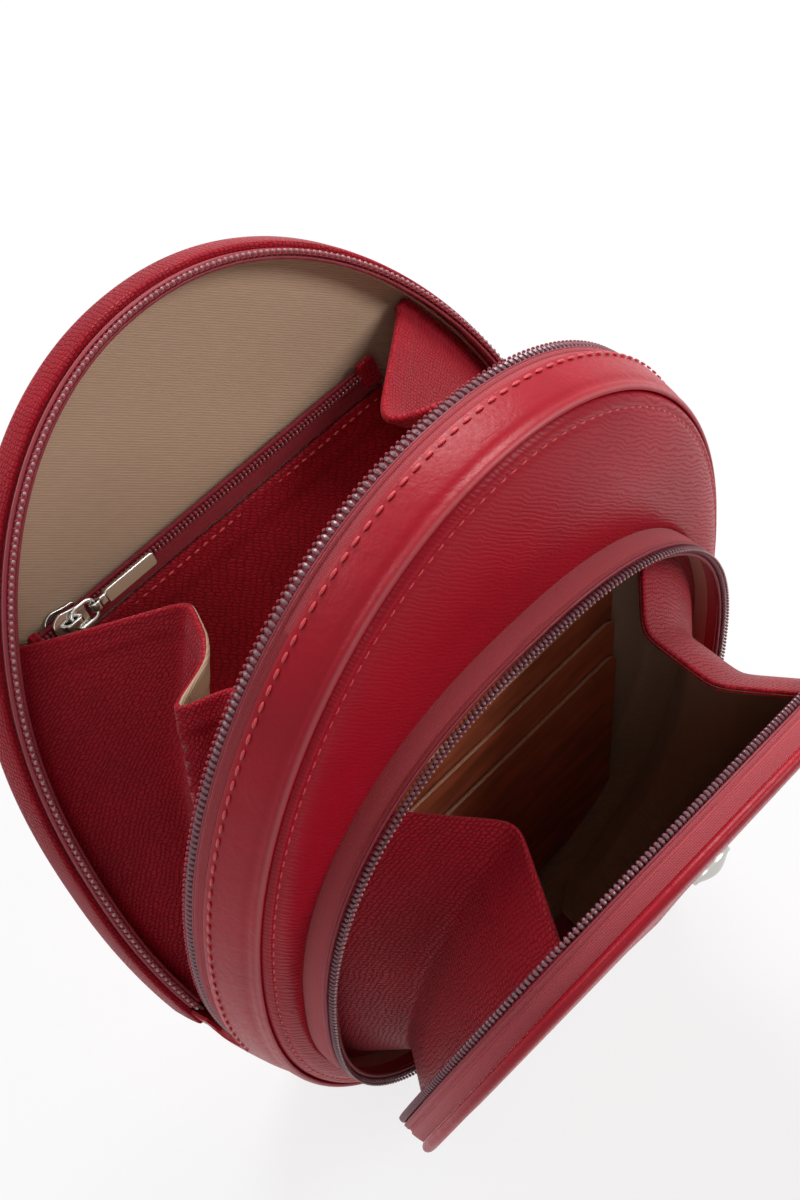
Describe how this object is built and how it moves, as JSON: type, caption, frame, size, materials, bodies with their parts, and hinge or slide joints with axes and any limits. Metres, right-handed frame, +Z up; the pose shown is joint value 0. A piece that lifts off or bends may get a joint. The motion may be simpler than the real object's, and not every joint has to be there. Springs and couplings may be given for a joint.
{
  "type": "phone pouch",
  "caption": "Oval zip-round leather phone pouch standing open, with a folding back shell, inner zip pocket, front card pocket, gussets, zip sliders and pullers.",
  "frame": {"origin": "middle of the flat base that the pouch stands on", "axes": "+Z up, -Y towards the front flap, +X to the right seen from the front"},
  "size_m": [0.1604, 0.1715, 0.1942],
  "materials": {
    "red_leather": "grained satin",
    "tan_leather": "smooth satin",
    "taupe_lining": "fine ribbed weave",
    "zip_tape": "matt woven",
    "zip_coil": "satin nylon",
    "nickel": "polished"
  },
  "bodies": {
    "body": {"front_panel": "red_leather", "front_piping": "red_leather", "zip_band_front": "red_leather", "bottom_gusset": "red_leather", "body_lining": "taupe_lining", "bottom_lining": "taupe_lining", "body_zip_tape": "zip_tape", "body_zip_coil": "zip_coil", "back_panel_lower": "red_leather", "back_lining_lower": "taupe_lining", "pocket_lining": "taupe_lining", "card_backing": "tan_leather", "card_slot_1": "tan_leather", "card_slot_2": "tan_leather", "card_slot_3": "tan_leather", "pocket_zip_tape": "zip_tape", "pocket_zip_coil": "zip_coil", "pocket_bend": "zip_tape", "main_gusset_left": "red_leather", "main_gusset_right": "red_leather", "pocket_gusset_left": "taupe_lining", "pocket_gusset_right": "taupe_lining", "pocket_binding_left": "red_leather", "pocket_binding_right": "red_leather"},
    "back_shell": {"shell_band": "red_leather", "shell_zip_tape": "zip_tape", "shell_zip_coil": "zip_coil", "back_panel": "red_leather", "shell_lining": "taupe_lining", "shell_side_lining": "taupe_lining", "inner_pocket_panel": "red_leather", "inner_zip_tape_lower": "zip_tape", "inner_zip_tape_upper": "zip_tape", "inner_zip_coil_lower": "zip_coil", "inner_zip_coil_upper": "zip_coil", "inner_zip_tab_left": "red_leather", "inner_zip_tab_right": "red_leather"},
    "front_flap": {"flap_zip_tape": "zip_tape", "flap_zip_coil": "zip_coil", "flap_piping": "red_leather", "flap_panel": "red_leather", "flap_lining": "taupe_lining", "stud_cap": "nickel", "stud_back_plate": "nickel"},
    "inner_slider": {"inner_slider": "nickel"},
    "inner_loop": {"inner_puller_loop": "nickel"},
    "inner_bar": {"inner_puller_bar": "nickel"},
    "main_slider": {"main_slider": "nickel"},
    "main_loop": {"main_puller_loop": "nickel"},
    "main_bar": {"main_puller_bar": "nickel"},
    "front_slider": {"front_slider": "nickel"},
    "front_loop": {"front_puller_loop": "nickel"},
    "front_bar": {"front_puller_bar": "nickel"}
  },
  "joints": [
    {"name": "back_shell_fold", "type": "hinge", "parent": "body", "child": "back_shell", "pos_m": [0, 0.0046, 0.0515], "axis": [1, 0, 0], "range_deg": [0, 33.6], "deforming": ["main_gusset_left", "main_gusset_right"]},
    {"name": "front_flap_fold", "type": "hinge", "parent": "body", "child": "front_flap", "pos_m": [0, -0.0256, 0.018], "axis": [-1, 0, 0], "range_deg": [0, 18.8], "deforming": ["pocket_gusset_left", "pocket_gusset_right", "pocket_binding_left", "pocket_binding_right", "pocket_bend"]},
    {"name": "inner_slider_run", "type": "slide", "parent": "back_shell", "child": "inner_slider", "axis": [1, 0, 0], "range_m": [0, 0.08]},
    {"name": "inner_loop_lift", "type": "hinge", "parent": "inner_slider", "child": "inner_loop", "pos_m": [-0.05002, 0.05999, 0.1299], "axis": [0, 0.5534, 0.8329], "range_deg": [-110, 0]},
    {"name": "inner_bar_swing", "type": "hinge", "parent": "inner_loop", "child": "inner_bar", "pos_m": [-0.04372, 0.05999, 0.1299], "axis": [0, 0.5534, 0.8329], "range_deg": [-45, 0]},
    {"name": "main_slider_run", "type": "hinge", "parent": "body", "child": "main_slider", "pos_m": [-0.04519, 0.0046, 0.09302], "axis": [0, -1, 0], "range_deg": [0, 13]},
    {"name": "main_loop_swing", "type": "hinge", "parent": "main_slider", "child": "main_loop", "pos_m": [0.0759, 0.0046, 0.0575], "axis": [0, -1, 0], "range_deg": [-8, 110]},
    {"name": "main_bar_swing", "type": "hinge", "parent": "main_loop", "child": "main_bar", "pos_m": [0.0759, 0.0046, 0.0499], "axis": [0, -1, 0], "range_deg": [-8, 50]},
    {"name": "front_slider_run", "type": "hinge", "parent": "body", "child": "front_slider", "pos_m": [0.01346, -0.0256, 0.07055], "axis": [0, -1, 0], "range_deg": [0, 26]},
    {"name": "front_loop_swing", "type": "hinge", "parent": "front_slider", "child": "front_loop", "pos_m": [0.05018, -0.0256, 0.03038], "axis": [0, -1, 0], "range_deg": [-30, 90]},
    {"name": "front_bar_swing", "type": "hinge", "parent": "front_loop", "child": "front_bar", "pos_m": [0.05018, -0.0256, 0.02278], "axis": [0, -1, 0], "range_deg": [-15, 30]}
  ]
}
